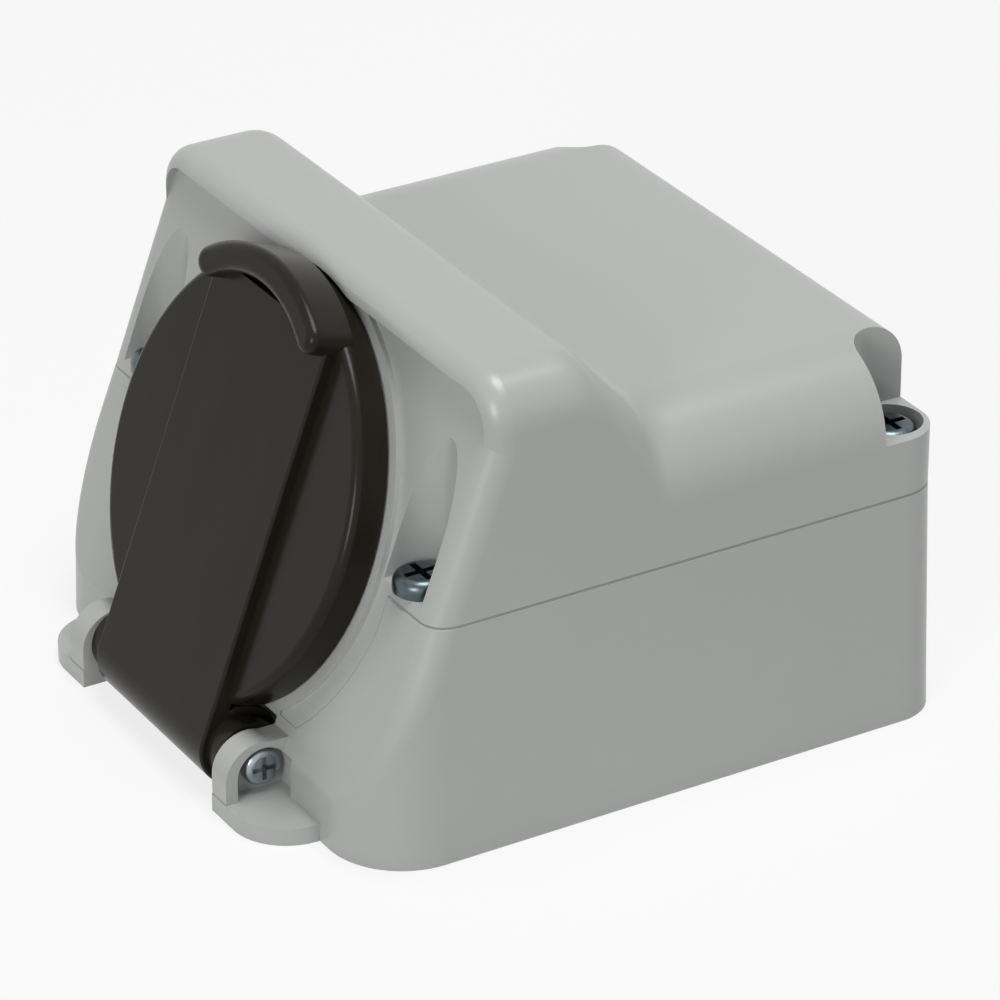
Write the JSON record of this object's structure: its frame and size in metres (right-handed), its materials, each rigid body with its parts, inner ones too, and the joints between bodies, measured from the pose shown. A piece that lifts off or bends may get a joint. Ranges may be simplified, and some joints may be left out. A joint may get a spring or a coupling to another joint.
{
  "type": "weatherproof wall socket",
  "caption": "Surface-mounted earthed power socket in a splash-proof two-part housing, with a sprung round flap lid under a hood.",
  "frame": {"origin": "on the wall face, in the middle of the housing's plan at the joint between base and cover", "axes": "+Z away from the wall, +X along the lid's hinge, -Y the side the socket faces, +Y the cable entry"},
  "size_m": [0.0838, 0.0906, 0.0617],
  "materials": {
    "housing": "glossy light grey",
    "lid_dark": "glossy dark grey",
    "insert_grey": "matte mid grey",
    "soft_seal": "matte black",
    "screw_steel": "zinc plated",
    "spring_steel": "bright wire",
    "contact_brass": "bare"
  },
  "bodies": {
    "housing": {"base_shell": "housing", "top_cover": "housing", "housing_gasket": "soft_seal", "cover_screws": "screw_steel", "hinge_screws": "screw_steel", "lid_spring": "spring_steel", "socket_insert": "insert_grey", "insert_gasket": "soft_seal", "insert_screws": "screw_steel", "insert_back": "insert_grey", "back_screws": "screw_steel", "line_contact": "contact_brass", "neutral_contact": "contact_brass", "contact_springs": "spring_steel", "earth_clip": "contact_brass", "terminal_screws": "screw_steel", "terminal_clamps": "screw_steel", "cable_grommet": "soft_seal"},
    "lid": {"lid": "lid_dark", "lid_seal": "soft_seal"}
  },
  "joints": [
    {"name": "lid_hinge", "type": "hinge", "parent": "housing", "child": "lid", "pos_m": [0, -0.0423, 0.0056], "axis": [1, 0, 0], "range_deg": [0, 90], "stiffness_Nm_per_rad": 0.02, "springref_deg": -85.94}
  ]
}
